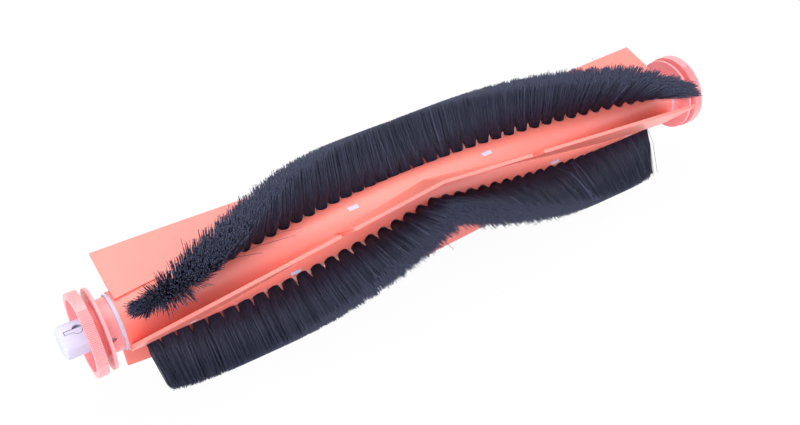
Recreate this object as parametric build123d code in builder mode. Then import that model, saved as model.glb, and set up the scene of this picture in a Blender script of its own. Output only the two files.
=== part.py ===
# Bristle roller of a robot vacuum cleaner: a white core with a square drive peg, a soft coral sleeve
# with three chevron blades, three chevron rows of bristle tufts and a twist-off cap at each end.
#
# The roller lies along +X, and y = z = 0 is its axis. x = 0 is the outer face of the drive cap's ring.
# A turn is an angle in degrees about +X, counted from straight up.
import os
from math import cos, radians, sin

from build123d import *

os.makedirs("parts", exist_ok=True)

# Overall
ring_span = 197.5  # between the outer faces of the two end rings
thirds = (0, 120, 240)  # turns of the three blades and of the three tuft rows

# End caps
ring_radius = 11.2
ring_width = 2.7
ring_wall = 1.6
web_thickness = 0.8  # floor of the ring's cup
groove_width = 1.6  # between the ring and the flange
flange_radius = 10.85
flange_width = 0.8
hub_radius = 7.1
hub_length = 3.2  # from the flange to the collar
grip_teeth = 32  # serrations in each of two opposite grips
grip_pitch = 2.5  # degrees
grip_turn = 62  # middle of the first grip
grip_depth = 0.22
mark_turn = 85  # triangular window that shows the white core
mark_length = 2.0
mark_height = 2.5

# Twist lock of each cap on its spigot
twist = 45  # degrees from locked to free
spigot_radius = 6.4
spigot_fit = 0.1  # radial play between spigot and cap
nub_reach = 0.8  # how far each of two nubs stands into the cap's bore
nub_width = 1.2
nub_span = 24  # degrees
nub_start = 1.4  # from the flange to the nub
lock_play = 0.1  # play of a nub in its groove
lock_play_turn = 1.0  # the same, in degrees
stop_turn = 82  # where the stop step starts
stop_step = 0.3  # height of the step
stop_span = 130  # length of the cap's tab, in degrees

# Core
core_radius = 6.4  # under the sleeve
core_bore_radius = 2.2
core_bore_end = 14.0  # closed end of the bore
collar_radius = 7.55
collar_width = 0.95
drive_spigot_end = 2.0
idler_spigot_end = 5.5  # from the idler ring's outer face

# Square drive peg
peg_side = 7.3
peg_length = 5.3
peg_corner = 1.2
peg_chamfer = 0.8
peg_turn = 30  # turn of the face with the keyhole
key_place = 0.45  # from the ring's outer face to the middle of the round hole
key_shift = 0.7  # of the keyhole from the middle of the face
key_radius = 1.3
key_slot_end = 3.85  # from the ring's outer face to the end of the slot
key_slot_width = 1.1
key_depth = 2.2
tongue_gap = 0.16  # round the spring tongue in the keyhole
tongue_drop = 0.12  # top of the tongue below the peg's face

# Sleeve and blades
sleeve_radius = 7.85
blade_drop = 4.4  # from the bristle tips down to the blade's edge
blade_root_turn = 30  # at the middle of the roller
blade_tip_turn = 49
blade_tip_twist = 24  # turn from the middle to each end
blade_root_thickness = 1.6
blade_tip_thickness = 0.9
blade_end_gap = 0.5  # between the end of a blade and the end of the sleeve
blade_bury = 1.2  # how far the blade's root reaches into the sleeve
blade_stations = 6  # sections of each half blade
notch_place = 30.8  # from the middle of the roller
notch_half_width = 1.9
notch_apex = 0.9  # above the blade's root
window_length = 3.1
window_height = 1.25
window_fit = 0.03
window_seats = ((22.1, 21.7), (43.2, 103.5), (73.0, 121.6))  # distance from the middle and turn

# Bristle tufts
tuft_pitch = 4.15
row_margin = 5.0  # least distance from the end of the sleeve to the last tuft's middle
row_turn = -45  # first row, at the middle of the roller
row_slope = 1.0588  # degrees for each millimetre away from the middle
tuft_radius = 22.8
tuft_gap = 0.12  # between tips and the middle line between two tufts
tuft_half_depth = 3.2  # half width of a tuft's tip across its row
merge_height = 3.0  # above the sleeve, where a tuft has spread to meet its neighbours
merge_half_depth = 2.0
tip_corner = 0.75
hole_radius = 1.55
hole_bottom = 3.4
tuft_fit = 0.04
anchor_length = 2.3
anchor_thickness = 0.3
anchor_height = 1.4
anchor_fold = 0.4  # folded bristles under the anchor
anchor_fit = 0.03

# Ball bearing in the idler cap
bearing_bore_radius = 2.0
bearing_radius = 5.5
bearing_width = 4.0
bearing_inner_land = 2.9
bearing_outer_land = 4.6
ball_radius = 0.95
ball_count = 7
race_play = 0.06
cage_half_width = 1.2
cage_wall = 0.4
cage_play = 0.08
shield_thickness = 0.25
shield_inset = 0.15
shield_play = 0.1
bearing_lip = 0.8  # wall behind the bearing
bearing_lip_radius = 3.6
boss_drop = 0.4  # bearing boss below the idler ring's outer face

# Places that follow from the sizes above
middle = ring_span / 2
flange_start = ring_width + groove_width
flange_end = flange_start + flange_width
hub_end = flange_end + hub_length
tube_start = hub_end + collar_width
tube_end = ring_span - tube_start
half_tube = tube_end - middle
half_blade = half_tube - blade_end_gap
blade_radius = tuft_radius - blade_drop
tufts_each_side = int((half_tube - row_margin) / tuft_pitch)
cap_bore = spigot_radius + spigot_fit
nub_low = flange_end + nub_start
nub_radius = cap_bore - nub_reach
lock_floor = nub_radius - lock_play
lock_half_span = nub_span / 2 + lock_play_turn
tab_turn = stop_turn + lock_play_turn
stop_end = tab_turn + stop_span + twist + lock_play_turn
bearing_face = ring_span - boss_drop
bearing_back = bearing_face - bearing_width
bearing_middle = bearing_face - bearing_width / 2
ball_circle = (bearing_inner_land + bearing_outer_land) / 2
race_radius = ball_radius + race_play


def spoke(radius, turn):
    # Point of a cross section, as its y and z
    return Vector(-radius * sin(radians(turn)), radius * cos(radians(turn)))


def ring_sector(inner, outer, start, end):
    # Part of a flat ring between two turns, in the sketch that is open
    with BuildLine() as outline:
        low = CenterArc((0, 0), inner, 90 + start, end - start)
        high = CenterArc((0, 0), outer, 90 + start, end - start)
        Line(low @ 0, high @ 0)
        Line(low @ 1, high @ 1)
    make_face(outline.edges())


def octagon(half_x, half_y, corner):
    # Rectangle with its corners cut at 45 degrees, in the sketch that is open
    with BuildLine() as outline:
        Polyline(
            (half_x, half_y - corner),
            (half_x - corner, half_y),
            (corner - half_x, half_y),
            (-half_x, half_y - corner),
            (-half_x, corner - half_y),
            (corner - half_x, -half_y),
            (half_x - corner, -half_y),
            (half_x, corner - half_y),
            close=True,
        )
    make_face(outline.edges())


def row_places(row, first, last):
    # Where the tufts of one row stand, each with its own +Z pointing out of the roller
    places = []
    for step in range(first, last + 1):
        turn = row_turn + thirds[row] + row_slope * abs(step) * tuft_pitch
        places.append(Location((middle + step * tuft_pitch, 0, 0), (turn, 0, 0)))
    return places


def save(builder, name):
    builder.part.label = name
    export_step(builder.part, f"parts/{name}.step")


all_tufts = []
for row in range(len(thirds)):
    all_tufts += row_places(row, -tufts_each_side, tufts_each_side)

window_places = []
for reach, turn in window_seats:
    for side in (-1, 1):
        for third in thirds:
            window_places.append(Location((middle + side * reach, 0, 0), (turn + third, 0, 0)))

# Drilled holes of all the tufts
with BuildPart() as tuft_holes:
    with Locations(*all_tufts):
        with Locations((0, 0, hole_bottom)):
            Cylinder(hole_radius, sleeve_radius, align=(Align.CENTER, Align.CENTER, Align.MIN))

# Pads of the core that show flush in the sleeve's windows, and the windows round them
with BuildPart() as window_pads:
    with Locations(*window_places):
        Box(window_length, window_height, sleeve_radius * 2, align=(Align.CENTER, Align.CENTER, Align.MIN))
    with BuildSketch(Plane.XY):
        with Locations((middle, (core_radius + sleeve_radius) / 2 - window_fit)):
            Rectangle(half_tube * 2, sleeve_radius - core_radius)
    revolve(axis=Axis.X, mode=Mode.INTERSECT)

with BuildPart() as window_cuts:
    with Locations(*window_places):
        Box(
            window_length + 2 * window_fit,
            window_height + 2 * window_fit,
            sleeve_radius * 2,
            align=(Align.CENTER, Align.CENTER, Align.MIN),
        )

# Square peg with the keyhole and the spring tongue in it
key_normal = spoke(1, peg_turn)
key_plane = Plane(
    origin=(0, key_normal.X * peg_side / 2, key_normal.Y * peg_side / 2),
    x_dir=(1, 0, 0),
    z_dir=(0, key_normal.X, key_normal.Y),
)
key_slot_length = key_slot_end - key_place

with BuildPart() as peg:
    with BuildSketch(Plane.YZ.offset(drive_spigot_end)):
        RectangleRounded(peg_side, peg_side, peg_corner, rotation=peg_turn)
    extrude(amount=-(drive_spigot_end + peg_length))
    chamfer(peg.faces().sort_by(Axis.X)[0].edges(), peg_chamfer)
    with BuildSketch(key_plane):
        with Locations((-key_place, key_shift)):
            Circle(key_radius)
            Rectangle(key_slot_length, key_slot_width, align=(Align.MAX, Align.CENTER))
    extrude(amount=-key_depth, mode=Mode.SUBTRACT)
    with BuildSketch(key_plane.offset(-key_depth)):
        with Locations((-key_place, key_shift)):
            Circle(key_radius - tongue_gap)
            Rectangle(
                key_slot_length - tongue_gap,
                key_slot_width - 2 * tongue_gap,
                align=(Align.MAX, Align.CENTER),
            )
        with Locations((-key_place, key_shift + key_slot_width / 2 - tongue_gap)):
            Rectangle(2 * key_radius, key_radius, align=(Align.CENTER, Align.MIN), mode=Mode.SUBTRACT)
    extrude(amount=key_depth - tongue_drop)

# Core: spigots, collars and tube in one turned shape, then the peg, pads, locks and tuft holes
with BuildPart() as roller_core:
    with BuildSketch(Plane.XY):
        with BuildLine():
            Polyline(
                (drive_spigot_end, 0),
                (drive_spigot_end, spigot_radius),
                (hub_end, spigot_radius),
                (hub_end, collar_radius),
                (tube_start, collar_radius),
                (tube_start, core_radius),
                (tube_end, core_radius),
                (tube_end, collar_radius),
                (ring_span - hub_end, collar_radius),
                (ring_span - hub_end, spigot_radius),
                (ring_span - idler_spigot_end, spigot_radius),
                (ring_span - idler_spigot_end, core_bore_radius),
                (core_bore_end, core_bore_radius),
                (core_bore_end, 0),
                close=True,
            )
        make_face()
    revolve(axis=Axis.X)
    add(peg.part)
    add(window_pads.part)
    # Stop steps: each collar is set back by one step over the arc where the cap's tab travels
    with BuildSketch(Plane.YZ.offset(tube_start)):
        ring_sector(core_radius, collar_radius, stop_turn, stop_end)
    extrude(amount=stop_step)
    with BuildSketch(Plane.YZ.offset(tube_end)):
        ring_sector(core_radius, collar_radius, stop_turn, stop_end)
    extrude(amount=-stop_step)
    with BuildSketch(Plane.YZ.offset(hub_end)):
        ring_sector(spigot_radius, collar_radius, stop_turn, stop_end)
    extrude(amount=stop_step, mode=Mode.SUBTRACT)
    with BuildSketch(Plane.YZ.offset(ring_span - hub_end)):
        ring_sector(spigot_radius, collar_radius, stop_turn, stop_end)
    extrude(amount=-stop_step, mode=Mode.SUBTRACT)
    # L-shaped lock grooves: round the spigot, then out along it where the cap comes free
    for lock_turn in (0, 180):
        for face, end, way in (
            (nub_low - lock_play, drive_spigot_end, 1),
            (ring_span - nub_low + lock_play, ring_span - idler_spigot_end, -1),
        ):
            with BuildSketch(Plane.YZ.offset(face)):
                ring_sector(
                    lock_floor,
                    cap_bore,
                    lock_turn - lock_half_span,
                    lock_turn + twist + lock_half_span,
                )
            extrude(amount=way * (nub_width + 2 * lock_play), mode=Mode.SUBTRACT)
            with BuildSketch(Plane.YZ.offset(end)):
                ring_sector(
                    lock_floor,
                    cap_bore,
                    lock_turn + twist - lock_half_span,
                    lock_turn + twist + lock_half_span,
                )
            extrude(amount=face - end, mode=Mode.SUBTRACT)
    add(tuft_holes.part, mode=Mode.SUBTRACT)
save(roller_core, "roller_core")


def blade_line(x):
    # Root point, tip point and unit direction of the blade's middle line in the cross section at x
    reach = abs(x - middle)
    root = spoke(sleeve_radius, blade_root_turn + row_slope * reach)
    tip = spoke(blade_radius, blade_tip_turn + blade_tip_twist * reach / half_blade)
    return root, tip, (tip - root).normalized()


# One blade: half of it lofted through cross sections, notched, and mirrored to make the chevron
notch_x = middle + notch_place
notch_root, notch_tip, notch_way = blade_line(notch_x)
notch_depth = (notch_tip - notch_root).length - notch_apex
notch_plane = Plane(
    origin=(notch_x, notch_root.X, notch_root.Y),
    x_dir=(1, 0, 0),
    z_dir=(0, -notch_way.Y, notch_way.X),
)

with BuildPart() as blade:
    for station in range(blade_stations + 1):
        x = middle + half_blade * station / blade_stations
        root, tip, way = blade_line(x)
        side = Vector(-way.Y, way.X)
        foot = root - way * blade_bury
        with BuildSketch(Plane.YZ.offset(x)):
            with BuildLine():
                Polyline(
                    foot + side * (blade_root_thickness / 2),
                    tip + side * (blade_tip_thickness / 2),
                    tip - side * (blade_tip_thickness / 2),
                    foot - side * (blade_root_thickness / 2),
                    close=True,
                )
            make_face()
    loft()
    with BuildSketch(notch_plane):
        with BuildLine():
            Polyline(
                (0, notch_apex),
                (2 * notch_half_width, notch_apex + 2 * notch_depth),
                (-2 * notch_half_width, notch_apex + 2 * notch_depth),
                close=True,
            )
        make_face()
    extrude(amount=blade_root_thickness * 2, both=True, mode=Mode.SUBTRACT)
    mirror(about=Plane.YZ.offset(middle))

# Sleeve moulded over the core, with the three blades
with BuildPart() as blade_sleeve:
    with BuildSketch(Plane.XY):
        with Locations((middle, sleeve_radius)):
            Rectangle(half_tube * 2, sleeve_radius - core_radius, align=(Align.CENTER, Align.MAX))
    revolve(axis=Axis.X)
    with Locations(*[Location((0, 0, 0), (third, 0, 0)) for third in thirds]):
        add(blade.part)
    with Locations(Location((middle, 0, 0), (0, 90, 0))):
        Cylinder(core_radius, half_tube * 2, mode=Mode.SUBTRACT)
    with BuildSketch(Plane.YZ.offset(tube_start)):
        ring_sector(core_radius, collar_radius, stop_turn, stop_end)
    extrude(amount=stop_step, mode=Mode.SUBTRACT)
    with BuildSketch(Plane.YZ.offset(tube_end)):
        ring_sector(core_radius, collar_radius, stop_turn, stop_end)
    extrude(amount=-stop_step, mode=Mode.SUBTRACT)
    add(window_cuts.part, mode=Mode.SUBTRACT)
    add(tuft_holes.part, mode=Mode.SUBTRACT)
save(blade_sleeve, "blade_sleeve")

# One tuft: folded in its hole over a flat wire anchor, then spread out to its tip
root_half = (hole_radius - tuft_fit) * cos(radians(22.5))
root_corner = root_half * (2 - 2**0.5)

with BuildPart() as tuft:
    with BuildSketch(Plane.XY.offset(hole_bottom)):
        octagon(root_half, root_half, root_corner)
    extrude(amount=sleeve_radius - hole_bottom)
    with BuildSketch(Plane.XY.offset(sleeve_radius)):
        octagon(root_half, root_half, root_corner)
    with BuildSketch(Plane.XY.offset(sleeve_radius + merge_height)):
        octagon(tuft_pitch / 2 - tuft_gap, merge_half_depth, tip_corner)
    with BuildSketch(Plane.XY.offset(tuft_radius)):
        octagon(tuft_pitch / 2 - tuft_gap, tuft_half_depth, tip_corner)
    loft(ruled=True)
    with Locations((0, 0, hole_bottom + anchor_fold)):
        Box(
            2 * hole_radius,
            anchor_thickness + 2 * anchor_fit,
            anchor_height + anchor_fit,
            align=(Align.CENTER, Align.CENTER, Align.MIN),
            mode=Mode.SUBTRACT,
        )

for row, letter in enumerate("abc"):
    for half, first, last in (("drive", -tufts_each_side, -1), ("idler", 0, tufts_each_side)):
        places = row_places(row, first, last)
        with BuildPart() as bristles:
            with Locations(*places):
                add(tuft.part)
        save(bristles, f"bristle_row_{letter}_{half}")
        with BuildPart() as anchors:
            with Locations(*places):
                with Locations((0, 0, hole_bottom + anchor_fold)):
                    Box(
                        anchor_length,
                        anchor_thickness,
                        anchor_height,
                        align=(Align.CENTER, Align.CENTER, Align.MIN),
                    )
        save(anchors, f"tuft_anchors_{letter}_{half}")

# Serrations of the two grips on an end ring, drawn once and cut through both rings
grip_half = radians(grip_pitch) * ring_radius / 4
grip_places = []
for grip in (grip_turn, grip_turn + 180):
    for tooth in range(grip_teeth):
        turn = grip + (tooth - (grip_teeth - 1) / 2) * grip_pitch
        grip_places.append(Location((0, 0, 0), (turn, 0, 0)))

with BuildPart() as serration:
    with BuildSketch(Plane.YZ):
        with BuildLine():
            Polyline(
                (0, ring_radius - grip_depth),
                (2 * grip_half, ring_radius + grip_depth),
                (-2 * grip_half, ring_radius + grip_depth),
                close=True,
            )
        make_face()
    extrude(amount=ring_width)

# Everything that the two caps share, at the drive end
with BuildPart() as cap:
    with BuildSketch(Plane.XY):
        with BuildLine():
            Polyline(
                (0, ring_radius - ring_wall),
                (0, ring_radius),
                (ring_width, ring_radius),
                (ring_width, hub_radius),
                (flange_start, hub_radius),
                (flange_start, flange_radius),
                (flange_end, flange_radius),
                (flange_end, hub_radius),
                (hub_end, hub_radius),
                (hub_end, cap_bore),
                (ring_width - web_thickness, cap_bore),
                (ring_width - web_thickness, ring_radius - ring_wall),
                close=True,
            )
        make_face()
    revolve(axis=Axis.X)
    with Locations(*grip_places):
        add(serration.part, mode=Mode.SUBTRACT)
    # Tab that runs against the collar's stop step
    with BuildSketch(Plane.YZ.offset(hub_end)):
        ring_sector(cap_bore, hub_radius, tab_turn, tab_turn + stop_span)
    extrude(amount=stop_step)
    for lock_turn in (0, 180):
        with BuildSketch(Plane.YZ.offset(nub_low)):
            ring_sector(nub_radius, cap_bore, lock_turn - nub_span / 2, lock_turn + nub_span / 2)
        extrude(amount=nub_width)

# Drive cap: the triangular window points along the roller
mark_normal = spoke(1, mark_turn)
mark_plane = Plane(
    origin=(flange_end, mark_normal.X * hub_radius, mark_normal.Y * hub_radius),
    x_dir=(1, 0, 0),
    z_dir=(0, mark_normal.X, mark_normal.Y),
)

with BuildPart() as drive_end_cap:
    add(cap.part)
    with BuildSketch(mark_plane):
        with BuildLine():
            Polyline(
                (0, mark_height / 2),
                (mark_length, 0),
                (0, -mark_height / 2),
                close=True,
            )
        make_face()
    extrude(amount=hub_radius - spigot_radius, both=True, mode=Mode.SUBTRACT)
save(drive_end_cap, "drive_end_cap")

# Idler cap: the mirrored shape with a boss that holds the bearing
with BuildPart() as idler_end_cap:
    add(mirror(cap.part, about=Plane.YZ.offset(middle)))
    with BuildSketch(Plane.XY):
        with BuildLine():
            Polyline(
                (bearing_back - bearing_lip, hub_radius),
                (bearing_back - bearing_lip, bearing_lip_radius),
                (bearing_back, bearing_lip_radius),
                (bearing_back, bearing_radius),
                (bearing_face, bearing_radius),
                (bearing_face, hub_radius),
                close=True,
            )
        make_face()
    revolve(axis=Axis.X)
save(idler_end_cap, "idler_end_cap")

# Ball bearing
with BuildPart() as bearing_outer_ring:
    with BuildSketch(Plane.XY):
        with Locations((bearing_middle, bearing_radius)):
            Rectangle(
                bearing_width,
                bearing_radius - bearing_outer_land,
                align=(Align.CENTER, Align.MAX),
            )
        with Locations((bearing_middle, ball_circle)):
            Circle(race_radius, mode=Mode.SUBTRACT)
    revolve(axis=Axis.X)
save(bearing_outer_ring, "bearing_outer_ring")

with BuildPart() as bearing_inner_ring:
    with BuildSketch(Plane.XY):
        with Locations((bearing_middle, bearing_bore_radius)):
            Rectangle(
                bearing_width,
                bearing_inner_land - bearing_bore_radius,
                align=(Align.CENTER, Align.MIN),
            )
        with Locations((bearing_middle, ball_circle)):
            Circle(race_radius, mode=Mode.SUBTRACT)
    revolve(axis=Axis.X)
save(bearing_inner_ring, "bearing_inner_ring")

ball_places = []
for ball in range(ball_count):
    ball_places.append(Location((bearing_middle, 0, 0), (360 * ball / ball_count, 0, 0)))

with BuildPart() as bearing_balls:
    with Locations(*ball_places):
        with Locations((0, 0, ball_circle)):
            Sphere(ball_radius)
save(bearing_balls, "bearing_balls")

with BuildPart() as bearing_cage:
    with BuildSketch(Plane.XY):
        with Locations((bearing_middle, ball_circle)):
            Rectangle(2 * cage_half_width, cage_wall)
    revolve(axis=Axis.X)
    with Locations(*ball_places):
        Cylinder(
            ball_radius + cage_play,
            bearing_radius,
            align=(Align.CENTER, Align.CENTER, Align.MIN),
            mode=Mode.SUBTRACT,
        )
save(bearing_cage, "bearing_cage")

for name, place in (
    ("bearing_shield_outer", bearing_face - shield_inset),
    ("bearing_shield_inner", bearing_back + shield_inset + shield_thickness),
):
    with BuildPart() as shield:
        with BuildSketch(Plane.XY):
            with Locations((place, bearing_outer_land)):
                Rectangle(
                    shield_thickness,
                    bearing_outer_land - bearing_inner_land - shield_play,
                    align=(Align.MAX, Align.MAX),
                )
        revolve(axis=Axis.X)
    save(shield, name)
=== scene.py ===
# Brush roller of a robot vacuum cleaner: finishes, bristle filaments, stage, light and camera
import math

import bpy
import numpy as np
from mathutils import Matrix, Vector


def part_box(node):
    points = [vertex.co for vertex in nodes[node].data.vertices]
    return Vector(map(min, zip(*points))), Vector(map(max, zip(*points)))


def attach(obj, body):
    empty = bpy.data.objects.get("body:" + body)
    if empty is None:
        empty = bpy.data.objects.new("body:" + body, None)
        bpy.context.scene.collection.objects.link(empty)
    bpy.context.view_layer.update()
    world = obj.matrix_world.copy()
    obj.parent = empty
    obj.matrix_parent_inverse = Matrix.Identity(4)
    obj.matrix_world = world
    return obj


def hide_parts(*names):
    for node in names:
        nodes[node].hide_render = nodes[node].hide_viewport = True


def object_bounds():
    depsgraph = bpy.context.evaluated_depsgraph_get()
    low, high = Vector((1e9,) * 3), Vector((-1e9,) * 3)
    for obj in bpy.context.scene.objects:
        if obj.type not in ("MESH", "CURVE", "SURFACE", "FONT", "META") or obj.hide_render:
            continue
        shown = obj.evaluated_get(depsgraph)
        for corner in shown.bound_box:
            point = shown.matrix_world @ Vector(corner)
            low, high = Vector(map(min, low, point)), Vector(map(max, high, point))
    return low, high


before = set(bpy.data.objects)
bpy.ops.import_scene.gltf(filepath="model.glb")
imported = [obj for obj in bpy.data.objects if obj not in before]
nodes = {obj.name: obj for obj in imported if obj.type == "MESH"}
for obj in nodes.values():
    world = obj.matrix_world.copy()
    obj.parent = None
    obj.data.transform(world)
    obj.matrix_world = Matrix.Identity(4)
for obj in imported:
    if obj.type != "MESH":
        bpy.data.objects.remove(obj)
cadLow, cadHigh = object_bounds()  # the CAD box, before anything is added
mm = 0.001
sleeveLow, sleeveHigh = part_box("blade_sleeve")
rollerMiddle = (sleeveLow.x + sleeveHigh.x) / 2
print("frame loaded:", len(nodes), "nodes")


# Helpers
def linear(hexColour):
    # sRGB hex to linear, opaque: the lower part of the curve is a line, the rest a 2.4 power
    values = np.array([int(hexColour[i:i + 2], 16) for i in (1, 3, 5)]) / 255
    values = np.where(values <= 0.04045, values / 12.92, ((values + 0.055) / 1.055) ** 2.4)
    return (*[float(v) for v in values], 1.0)


def addNode(tree, kind, sockets=None, **settings):
    # one node: plain values go to its sockets, (node, output) pairs become links
    node = tree.nodes.new(kind)
    for name, value in settings.items():
        setattr(node, name, value)
    for name, value in (sockets or {}).items():
        if isinstance(value, tuple) and isinstance(value[0], bpy.types.Node):
            tree.links.new(value[0].outputs[value[1]], node.inputs[name])
        else:
            node.inputs[name].default_value = value
    return node


def startMaterial(name):
    material = bpy.data.materials.new(name)
    material.use_nodes = True
    material.node_tree.nodes.clear()
    return material, material.node_tree


def endMaterial(tree, shader):
    addNode(tree, "ShaderNodeOutputMaterial", {"Surface": (shader, 0)})


def mouldedSkin(tree, place, look):
    # the faint relief of a moulded surface: lumps of a real size and depth
    grain = addNode(tree, "ShaderNodeTexNoise", {
        "Vector": (place, "Object"), "Scale": 1 / (look["grainSize"] * mm), "Detail": look["grainDetail"]})
    return addNode(tree, "ShaderNodeBump", {
        "Height": (grain, 0), "Strength": look["grainStrength"], "Distance": look["grainDepth"] * mm})


def dress(nodeNames, material):
    for name in nodeNames:
        slots = nodes[name].data.materials
        slots.clear()
        slots.append(material)


# Soft thermoplastic elastomer, injection moulded over the core: satin under a pale veil of gloss, hardly
# mottled, with a faint red glow just below the surface and two fine mould seams
sleeveLook = {
    "colour": "#FF8876", "deepColour": "#FF806E", "mottleSize": 9.0,
    "grainSize": 0.35, "grainDetail": 3.0, "grainDepth": 0.012, "grainStrength": 0.5,
    "roughness": 0.42, "veil": 0.8, "veilRoughness": 0.4,
    "glow": 0.15, "glowReach": 2.0, "glowSpread": (1.0, 0.16, 0.12),  # red light goes furthest
    "seamPlace": 30.8, "seamWidth": 0.3, "seamHeight": 0.05,
}


def coralElastomer(look):
    material, tree = startMaterial("coral_TPE_satin_moulded")
    place = addNode(tree, "ShaderNodeTexCoord")
    mottle = addNode(tree, "ShaderNodeTexNoise", {
        "Vector": (place, "Object"), "Scale": 1 / (look["mottleSize"] * mm), "Detail": 2.0})
    tint = addNode(tree, "ShaderNodeMix", {
        "Factor": (mottle, 0), "A": linear(look["colour"]), "B": linear(look["deepColour"])},
        data_type="RGBA")
    skin = mouldedSkin(tree, place, look)
    # the seams go round the sleeve at one distance to both sides of its middle
    axes = addNode(tree, "ShaderNodeSeparateXYZ", {"Vector": (place, "Object")})
    along = addNode(tree, "ShaderNodeMath", {0: (axes, 0), 1: rollerMiddle}, operation="SUBTRACT")
    fromMiddle = addNode(tree, "ShaderNodeMath", {0: (along, 0)}, operation="ABSOLUTE")
    pastSeam = addNode(tree, "ShaderNodeMath", {0: (fromMiddle, 0), 1: look["seamPlace"] * mm},
                       operation="SUBTRACT")
    fromSeam = addNode(tree, "ShaderNodeMath", {0: (pastSeam, 0)}, operation="ABSOLUTE")
    seam = addNode(tree, "ShaderNodeMapRange", {
        "Value": (fromSeam, 0), "From Max": look["seamWidth"] * mm, "To Min": 1.0, "To Max": 0.0},
        interpolation_type="SMOOTHSTEP")
    ridge = addNode(tree, "ShaderNodeBump", {
        "Height": (seam, 0), "Strength": 1.0, "Distance": look["seamHeight"] * mm, "Normal": (skin, 0)})
    shader = addNode(tree, "ShaderNodeBsdfPrincipled", {
        "Base Color": (tint, 2), "Roughness": look["roughness"], "IOR": 1.5, "Normal": (ridge, 0),
        "Coat Weight": look["veil"], "Coat Roughness": look["veilRoughness"], "Coat IOR": 1.6,
        "Subsurface Weight": look["glow"], "Subsurface Radius": look["glowSpread"],
        "Subsurface Scale": look["glowReach"] * mm})
    endMaterial(tree, shader)
    return material


# Rigid coral ABS of the caps, injection moulded: paler and pinker than the sleeve, and a little glossier;
# part of that paleness is painted reflection of the white surroundings
capLook = {
    "colour": "#FFA09E", "roughness": 0.36, "sheen": 0.5,
    "grainSize": 0.5, "grainDetail": 2.0, "grainDepth": 0.006, "grainStrength": 0.4,
    "glow": 0.1, "glowReach": 0.8, "glowSpread": (1.0, 0.45, 0.4),
}


def coralPlastic(look):
    material, tree = startMaterial("coral_ABS_moulded")
    place = addNode(tree, "ShaderNodeTexCoord")
    skin = mouldedSkin(tree, place, look)
    shader = addNode(tree, "ShaderNodeBsdfPrincipled", {
        "Base Color": linear(look["colour"]), "Roughness": look["roughness"], "IOR": 1.54,
        "Normal": (skin, 0), "Coat Weight": look["sheen"], "Coat Roughness": look["roughness"],
        "Subsurface Weight": look["glow"], "Subsurface Radius": look["glowSpread"],
        "Subsurface Scale": look["glowReach"] * mm})
    endMaterial(tree, shader)
    return material


# White polypropylene of the core, injection moulded: milky, faintly lavender, soft highlights
coreLook = {
    "colour": "#CCD0E0", "roughness": 0.4,
    "grainSize": 0.6, "grainDetail": 2.0, "grainDepth": 0.006, "grainStrength": 0.4,
    "glow": 0.2, "glowReach": 1.2, "glowSpread": (1.0, 0.9, 0.95),
}


def whitePolypropylene(look):
    material, tree = startMaterial("white_PP_moulded")
    place = addNode(tree, "ShaderNodeTexCoord")
    skin = mouldedSkin(tree, place, look)
    shader = addNode(tree, "ShaderNodeBsdfPrincipled", {
        "Base Color": linear(look["colour"]), "Roughness": look["roughness"], "IOR": 1.49,
        "Normal": (skin, 0), "Subsurface Weight": look["glow"], "Subsurface Radius": look["glowSpread"],
        "Subsurface Scale": look["glowReach"] * mm})
    endMaterial(tree, shader)
    return material


# Extruded black nylon filament: near black and cool in hue, a soft sheen along its sides; cut ends and the
# last of the length are painted paler, a painted highlight where the tips catch light
nylonLook = {
    # the pale colour serves the random tone of the sides, the painted highlights at the tips and the painted
    # glints
    "colour": "#222639", "toneAndLightColour": "#6A7196", "roughness": 0.52,
    "litLengthShare": 0.1, "litLengthTone": 0.2,  # painted highlight: the last share of the length pales towards the cut by this much, for the light the tips catch
}


def blackNylon(look):
    material, tree = startMaterial("black_nylon_filament")
    # each face's tone: random on the sides, painted highlights on the tips and painted glints on a few
    # filaments
    own = addNode(tree, "ShaderNodeAttribute", attribute_name="filamentShade")
    along = addNode(tree, "ShaderNodeAttribute", attribute_name="filamentReach")
    # painted highlight along the last share of each filament's length, towards the tips
    paintedTipLight = addNode(tree, "ShaderNodeMapRange", {
        "Value": (along, "Fac"), "From Min": 1 - look["litLengthShare"], "From Max": 1.0,
        "To Max": look["litLengthTone"]}, interpolation_type="SMOOTHSTEP")
    tone = addNode(tree, "ShaderNodeMath", {0: (own, "Fac"), 1: (paintedTipLight, 0)}, operation="MAXIMUM")
    # towards the pale colour: random side tone, painted highlights at the tips and painted glints
    tint = addNode(tree, "ShaderNodeMix", {
        "Factor": (tone, 0), "A": linear(look["colour"]), "B": linear(look["toneAndLightColour"])}, data_type="RGBA")
    shader = addNode(tree, "ShaderNodeBsdfPrincipled", {
        "Base Color": (tint, 2), "Roughness": look["roughness"], "IOR": 1.53})
    endMaterial(tree, shader)
    return material


# Bearing and wire steel: ground, polished, pressed and drawn surfaces differ in tone, gloss and grain
steelLooks = {
    "steel_ground_ring": {"colour": "#B9BABD", "roughness": 0.28, "uneven": 0.2, "grainSize": 0.2},
    "steel_polished_ball": {"colour": "#D5D6D8", "roughness": 0.12, "uneven": 0.2, "grainSize": 0.5},
    "steel_pressed_sheet": {"colour": "#A9AAAD", "roughness": 0.38, "uneven": 0.2, "grainSize": 0.3},
    "steel_drawn_wire": {"colour": "#A2A3A6", "roughness": 0.35, "uneven": 0.2, "grainSize": 0.15},
}


def steel(name):
    look = steelLooks[name]
    material, tree = startMaterial(name)
    place = addNode(tree, "ShaderNodeTexCoord")
    grain = addNode(tree, "ShaderNodeTexNoise", {
        "Vector": (place, "Object"), "Scale": 1 / (look["grainSize"] * mm), "Detail": 2.0})
    gloss = addNode(tree, "ShaderNodeMapRange", {
        "Value": (grain, 0), "To Min": look["roughness"] * (1 - look["uneven"]),
        "To Max": look["roughness"] * (1 + look["uneven"])})
    shader = addNode(tree, "ShaderNodeBsdfPrincipled", {
        "Base Color": linear(look["colour"]), "Metallic": 1.0, "Roughness": (gloss, 0)})
    endMaterial(tree, shader)
    return material


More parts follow.
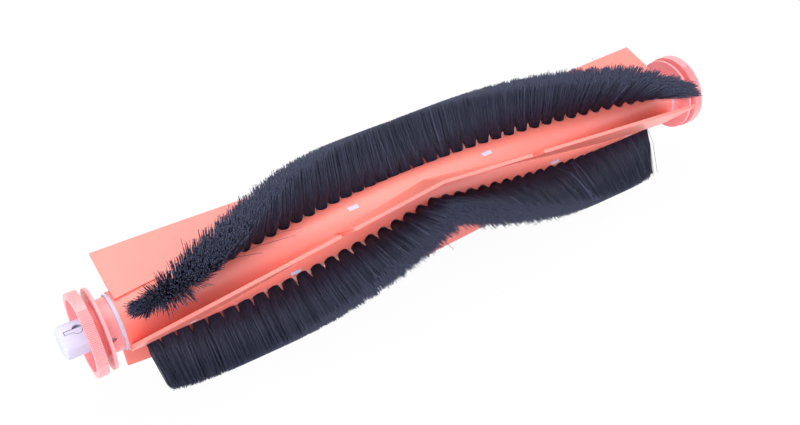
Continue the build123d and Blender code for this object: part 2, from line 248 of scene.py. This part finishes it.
dress(["blade_sleeve"], coralElastomer(sleeveLook))
dress(["drive_end_cap", "idler_end_cap"], coralPlastic(capLook))
dress(["roller_core"], whitePolypropylene(coreLook))
dress(["bearing_outer_ring", "bearing_inner_ring"], steel("steel_ground_ring"))
dress(["bearing_balls"], steel("steel_polished_ball"))
dress(["bearing_cage", "bearing_shield_inner", "bearing_shield_outer"], steel("steel_pressed_sheet"))
dress([name for name in nodes if name.startswith("tuft_anchors")], steel("steel_drawn_wire"))
print("materials")


# Bristle filaments: each tuft is a bundle in its hole that soon spreads into its neighbours
bristleForm = {
    "rows": {"a": 0, "b": 120, "c": 240},  # where each row stands round the roller, in degrees
    "firstTurn": -45.0, "slope": 1.0588 / mm,  # the chevron's turn at the middle, and degrees for each metre
    "pitch": 4.15 * mm, "eachSide": 20,  # tufts to each side of the middle one
    "filaments": 570, "radius": 0.064 * mm, "stations": (0, 0.35, 1),  # stations are shares of the length
    "rootHeight": 7.5 * mm, "rootAlong": 1.54 * mm, "rootAcross": 1.0 * mm,  # the oval in the hole
    "tipRadius": 22.8 * mm, "trim": 0.5 * mm,  # the trimming cylinder, and how short of it tips may end
    "overlap": 1.4 * mm, "spreadAcross": 3.0 * mm, "mixAcross": 1.0 * mm,
    "flareAlong": (0, 0.78, 1), "flareAcross": (0, 0.42, 1), "square": (0, 0.5, 1),  # at each station
    "endSqueeze": 0.3, "wave": 0.08 * mm, "waveCycles": 0.6,
    "clumps": 30, "clumpShift": 0.06 * mm, "tuftShift": 0.06 * mm, "strayShare": 0.01, "strayReach": 1.1,
    # face tones: sides at random; a painted highlight on the cut tips, and painted glints on a share of the
    # tips and of whole filaments
    "sideTone": 0.09, "toneSpread": 0.08, "litTipTone": 0.3, "tipGlintShare": 0.12, "glintShare": 0.005,
    "hairBend": 1.3, "seed": 41,
}
# Tips near a row's ends: out is the lean along the roller and forward the lean round it, each growing over
# a number of tufts and a little past the last. Wider spreads tufts across, and over the last few the row
# narrows, and loses the share back of its forward lean.
plainEnd = {
    "out": 0.0, "outTufts": 3, "outPower": 1.5, "forward": 0.0, "forwardTufts": 3, "mostGrowth": 1.1,
    "wider": 0.0, "widerTufts": 6, "narrow": 0.0, "back": 0.0, "lastTufts": 3,
}
endLeans = {
    "a": {"drive": {"out": 4.6 * mm, "outTufts": 6, "forward": 5.4 * mm, "forwardTufts": 11, "wider": 0.8,
                    "widerTufts": 10, "narrow": 0.5, "back": 0.6},
          "idler": {"out": 3.2 * mm, "forward": 5.0 * mm, "narrow": 0.4}},
    "b": {"drive": {"out": -2.4 * mm}, "idler": {"out": -2.6 * mm}},
    "c": {"drive": {"out": -4.5 * mm, "forward": -3.0 * mm},
          "idler": {"out": -2.0 * mm, "forward": -2.0 * mm}},
}
# Single hairs that lie loose over the sleeve, with their tips' places along it, round it and outwards
looseHairs = [
    {"row": "a", "tuft": -13, "along": 12.6 * mm, "round": 4.6 * mm, "height": 10.0 * mm},
    {"row": "a", "tuft": -14, "along": 6.8 * mm, "round": 4.6 * mm, "height": 9.8 * mm},
    {"row": "a", "tuft": -11, "along": 6.8 * mm, "round": 5.0 * mm, "height": 9.8 * mm},
]


def meshFromArrays(name, points, quads, triangles, shade, reach):
    # whole arrays into one mesh: four-sided faces first, then three-sided ones, which stay flat
    mesh = bpy.data.meshes.new(name)
    corners = np.concatenate([quads.ravel(), triangles.ravel()]).astype(np.int32)
    sizes = np.concatenate([np.full(len(quads), 4), np.full(len(triangles), 3)])
    starts = np.concatenate([[0], np.cumsum(sizes)[:-1]]).astype(np.int32)
    mesh.vertices.add(len(points))
    mesh.vertices.foreach_set("co", points.astype(np.float32).ravel())
    mesh.loops.add(len(corners))
    mesh.loops.foreach_set("vertex_index", corners)
    mesh.polygons.add(len(sizes))
    mesh.polygons.foreach_set("loop_start", starts)
    mesh.polygons.foreach_set("use_smooth", sizes == 4)
    for label, domain, values in (("filamentShade", "FACE", shade), ("filamentReach", "POINT", reach)):
        layer = mesh.attributes.new(label, "FLOAT", domain)
        layer.data.foreach_set("value", values.astype(np.float32))
    mesh.update(calc_edges=True)
    mesh.validate()
    return mesh


def filamentPaths(form, steps, leans, loose, rng):
    # Each filament has a random place (ca, cb) in a square. Its root is that place in an oval, by the
    # square-to-disc map. Its tip is on the trimming cylinder, at ca times half a pitch plus a random
    # crossing into the neighbours, and cb times the width plus some mixing. At each station it has gone a
    # share of the way from root to tip, so slits stay open between the feet. Clumps and whole tufts shift a
    # little, a wave grows with the share s of the length, and the last tufts lean with their length kept.
    # a runs along the roller, b round it the way the turn grows, z outwards.
    tufts = len(steps)
    shape = (tufts, form["filaments"], 1)
    s, square, flareA, flareB = (np.array(form[name])[None, None, :]
                                 for name in ("stations", "square", "flareAlong", "flareAcross"))
    ca, cb = rng.uniform(-1, 1, shape), rng.uniform(-1, 1, shape)
    rootA = form["rootAlong"] * ca * np.sqrt(1 - cb ** 2 / 2)
    rootB = form["rootAcross"] * cb * (square + (1 - square) * np.sqrt(1 - ca ** 2 / 2))
    stray = 1 + form["strayReach"] * (rng.random(shape) < form["strayShare"]) * rng.random(shape)
    clump = rng.integers(0, form["clumps"], shape)
    shift = rng.normal(0, form["clumpShift"], (2, tufts, form["clumps"], 1))
    shift = shift + rng.normal(0, form["tuftShift"], (2, tufts, 1, 1))
    shiftA, shiftB = (np.take_along_axis(part, clump, 1) for part in shift)

    # leans and widths at the row's ends, from how many tufts past the last one a filament is, mostly below 0
    end = {**plainEnd, **leans}
    side = np.where(steps < 0, -1, 1)[:, None, None]
    beyond = np.abs(steps)[:, None, None] + 0.5 * side * ca - form["eachSide"]
    last = np.clip(beyond / end["lastTufts"] + 1, 0, 1) ** 2
    leanA = end["out"] * side * np.clip(beyond / end["outTufts"] + 1, 0, end["mostGrowth"]) ** end["outPower"]
    leanB = end["forward"] * np.clip(beyond / end["forwardTufts"] + 1, 0, end["mostGrowth"])
    leanB = leanB * (1 - end["back"] * last)
    width = 1 + end["wider"] * np.clip(beyond / end["widerTufts"] + 1, 0, 1)
    width = width - (end["wider"] + end["narrow"]) * last
    spread = np.maximum(width, 1)

    outer = (np.abs(steps) == form["eachSide"])[:, None, None] & (ca * side > 0)
    crossing = form["overlap"] * spread * rng.uniform(-1, 1, shape)
    tipA = (ca * form["pitch"] / 2 * stray + crossing) * (1 - form["endSqueeze"] * outer) + shiftA
    mixed = form["mixAcross"] * spread * rng.uniform(-1, 1, shape)
    tipB = cb * form["spreadAcross"] * width * stray + mixed + shiftB
    reach = form["tipRadius"] - form["trim"] * rng.random(shape) ** 2
    length = np.sqrt(reach ** 2 - tipB ** 2) - form["rootHeight"]
    rise = np.sqrt(length ** 2 - leanA ** 2 - leanB ** 2)

    waves = {}
    for direction in "ab":
        cycles = form["waveCycles"] + rng.random(shape)
        waves[direction] = form["wave"] * s * np.sin(2 * np.pi * (s * cycles + rng.random(shape)))
    a = rootA + (tipA - rootA) * flareA + leanA * s + waves["a"]
    b = rootB + (tipB - rootB) * flareB + leanB * s + waves["b"]
    z = form["rootHeight"] + rise * s
    for hair in loose:
        tuft = hair["tuft"] - steps[0]
        share = s[0, 0]
        a[tuft, 0] = hair["along"] * share ** form["hairBend"]
        b[tuft, 0] = form["rootAcross"] + (hair["round"] - form["rootAcross"]) * share
        z[tuft, 0] = form["rootHeight"] + (hair["height"] - form["rootHeight"]) * (1 - (1 - share) ** 2)
    return a, b, z, form["radius"] * np.sqrt(spread)


def bristlePiece(name, form, steps, rowTurn, leans, loose, material, rng):
    # A triangle is carried along each path, and both its ends are closed. Each tuft is then turned about the
    # roller, by its row's place and the chevron's slope, and moved along it.
    a, b, z, radius = filamentPaths(form, steps, leans, loose, rng)
    count = a.shape[0] * a.shape[1]
    rings = len(form["stations"])
    corner = np.arange(3) * 2 * np.pi / 3
    ringA = a[..., None] + radius[..., None] * np.cos(corner)
    ringB = b[..., None] + radius[..., None] * np.sin(corner)
    ringZ = np.broadcast_to(z[..., None], ringA.shape)
    along = steps * form["pitch"]
    turn = np.radians(form["firstTurn"] + rowTurn + form["slope"] * np.abs(along))[:, None, None, None]
    x = rollerMiddle + along[:, None, None, None] + ringA
    y = -ringB * np.cos(turn) - ringZ * np.sin(turn)
    up = -ringB * np.sin(turn) + ringZ * np.cos(turn)
    points = np.stack([x, y, up], -1).reshape(-1, 3)

    # faces, seen from outside: a four-sided one between each two corners and rings, and the two ends
    start = (np.arange(count) * rings * 3)[:, None, None]
    low = start + (np.arange(rings - 1) * 3)[None, :, None]
    high = low + 3
    here = np.arange(3)[None, None, :]
    following = (here + 1) % 3
    quads = np.stack([low + here, high + here, high + following, low + following], -1).reshape(-1, 4)
    roots = start[:, 0] + np.arange(3)
    ends = np.concatenate([roots, roots[:, ::-1] + (rings - 1) * 3])

    # one tone for each face: the sides differ a little at random, the cut tips get a painted highlight that
    # makes them lighter than the sides, and a few of either get a painted glint
    sides = form["sideTone"] + form["toneSpread"] * rng.random(count)
    sides = np.where(rng.random(count) < form["glintShare"], 1.0, sides)
    tips = np.where(rng.random(count) < form["tipGlintShare"], 1.0, form["litTipTone"])
    shade = np.concatenate([np.repeat(sides, (rings - 1) * 3), sides, tips])
    reach = np.tile(np.repeat(form["stations"], 3), count)
    piece = bpy.data.objects.new(name, meshFromArrays(name, points, quads, ends, shade, reach))
    bpy.context.scene.collection.objects.link(piece)
    piece.data.materials.append(material)
    return piece


nylon = blackNylon(nylonLook)
rng = np.random.default_rng(bristleForm["seed"])
halves = {"drive": np.arange(-bristleForm["eachSide"], 0), "idler": np.arange(bristleForm["eachSide"] + 1)}
for letter, rowTurn in bristleForm["rows"].items():
    for half, steps in halves.items():
        loose = [hair for hair in looseHairs if hair["row"] == letter and hair["tuft"] in steps]
        name = f"bristles_{letter}_{half}"
        leans = endLeans[letter][half]
        piece = bristlePiece(name, bristleForm, steps, rowTurn, leans, loose, nylon, rng)
        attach(piece, "roller")
        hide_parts(f"bristle_row_{letter}_{half}")
print("bristles")

# Stage: a pale floor that keeps a faint shadow and shows near white to the camera
stageLook = {"size": 6.0, "colour": "#FAFAFC", "whiteShare": 0.97}
white = (1, 1, 1, 1)


def seenRays(tree):
    # 1 for rays that see the background, from the camera or by gloss or glass, and 0 for those that light
    paths = addNode(tree, "ShaderNodeLightPath")
    mirrored = addNode(tree, "ShaderNodeMath", {0: (paths, "Is Camera Ray"), 1: (paths, "Is Glossy Ray")},
                       operation="MAXIMUM")
    return addNode(tree, "ShaderNodeMath", {0: (mirrored, 0), 1: (paths, "Is Transmission Ray")},
                   operation="MAXIMUM")


def paleFloor(look):
    material, tree = startMaterial("pale_floor")
    share = addNode(tree, "ShaderNodeMath", {0: (seenRays(tree), 0), 1: look["whiteShare"]},
                    operation="MULTIPLY")
    matt = addNode(tree, "ShaderNodeBsdfDiffuse", {"Color": linear(look["colour"])})
    bright = addNode(tree, "ShaderNodeEmission", {"Color": white, "Strength": 1.0})
    mix = addNode(tree, "ShaderNodeMixShader", {0: (share, 0), 1: (matt, 0), 2: (bright, 0)})
    endMaterial(tree, mix)
    return material


edge = stageLook["size"] / 2
floorMesh = bpy.data.meshes.new("floor")
floorMesh.from_pydata([(-edge, -edge, cadLow.z), (edge, -edge, cadLow.z), (edge, edge, cadLow.z),
                       (-edge, edge, cadLow.z)], [], [(0, 1, 2, 3)])
floor = bpy.data.objects.new("floor", floorMesh)
floorMesh.materials.append(paleFloor(stageLook))
bpy.context.scene.collection.objects.link(floor)

# Light: a bright tent, a large soft lamp overhead, one at the front left and a weak one at the front right
tentLook = {"strength": 0.56, "colour": "#F1EFFF"}
lamps = [
    {"name": "overhead", "place": (0.12, 0.05, 0.62), "aim": (0.12, 0, 0), "size": 0.7, "watts": 3.0,
     "colour": "#FFFFFF"},
    {"name": "left_front", "place": (-0.42, -0.4, 0.24), "aim": (0.06, 0, 0), "size": 0.6, "watts": 3.8,
     "colour": "#F4F1FF"},
    {"name": "right_front", "place": (0.45, -0.45, 0.22), "aim": (0.14, 0, 0), "size": 0.6, "watts": 1.2,
     "colour": "#F4F1FF"},
]


def brightTent(look):
    # lights the object at its own strength and shows plain white behind it
    world = bpy.data.worlds.new("tent")
    world.use_nodes = True
    tree = world.node_tree
    tree.nodes.clear()
    seen = seenRays(tree)
    strength = addNode(tree, "ShaderNodeMapRange", {
        "Value": (seen, 0), "To Min": look["strength"], "To Max": 1.0})
    colour = addNode(tree, "ShaderNodeMix", {"Factor": (seen, 0), "A": linear(look["colour"]), "B": white},
                     data_type="RGBA")
    sky = addNode(tree, "ShaderNodeBackground", {"Color": (colour, 2), "Strength": (strength, 0)})
    addNode(tree, "ShaderNodeOutputWorld", {"Surface": (sky, 0)})
    return world


def addLamp(name, place, aim, size, watts, colour):
    data = bpy.data.lights.new(name, "AREA")
    data.energy = watts
    data.color = linear(colour)[:3]
    data.size = size
    lamp = bpy.data.objects.new(name, data)
    lamp.location = place
    lamp.rotation_mode = "QUATERNION"
    lamp.rotation_quaternion = (Vector(aim) - Vector(place)).to_track_quat("-Z", "Y")
    bpy.context.scene.collection.objects.link(lamp)


bpy.context.scene.world = brightTent(tentLook)
for lamp in lamps:
    addLamp(**lamp)
print("stage and light")

# Camera at the photograph's place: yaw turns it from +Y towards +X, tilt is below the horizon
cameraLook = {
    "place": (-31.5 * mm, -216.6 * mm, 170.2 * mm), "yaw": 29.8, "tilt": 34.73, "roll": -4.65,
    "focalPixels": 1080, "frameWidth": 800, "sensor": 36.0, "nearest": 10 * mm,
}
cameraData = bpy.data.cameras.new("photo_camera")
cameraData.sensor_fit = "HORIZONTAL"
cameraData.sensor_width = cameraLook["sensor"]
cameraData.lens = cameraLook["focalPixels"] / cameraLook["frameWidth"] * cameraLook["sensor"]
cameraData.clip_start = cameraLook["nearest"]
camera = bpy.data.objects.new("photo_camera", cameraData)
turned = (Matrix.Rotation(math.radians(-cameraLook["yaw"]), 4, "Z")
          @ Matrix.Rotation(math.radians(90 - cameraLook["tilt"]), 4, "X")
          @ Matrix.Rotation(math.radians(cameraLook["roll"]), 4, "Z"))
camera.matrix_world = Matrix.Translation(cameraLook["place"]) @ turned
bpy.context.scene.collection.objects.link(camera)
bpy.context.scene.camera = camera
bpy.context.scene.view_settings.view_transform = "Standard"
print("camera")
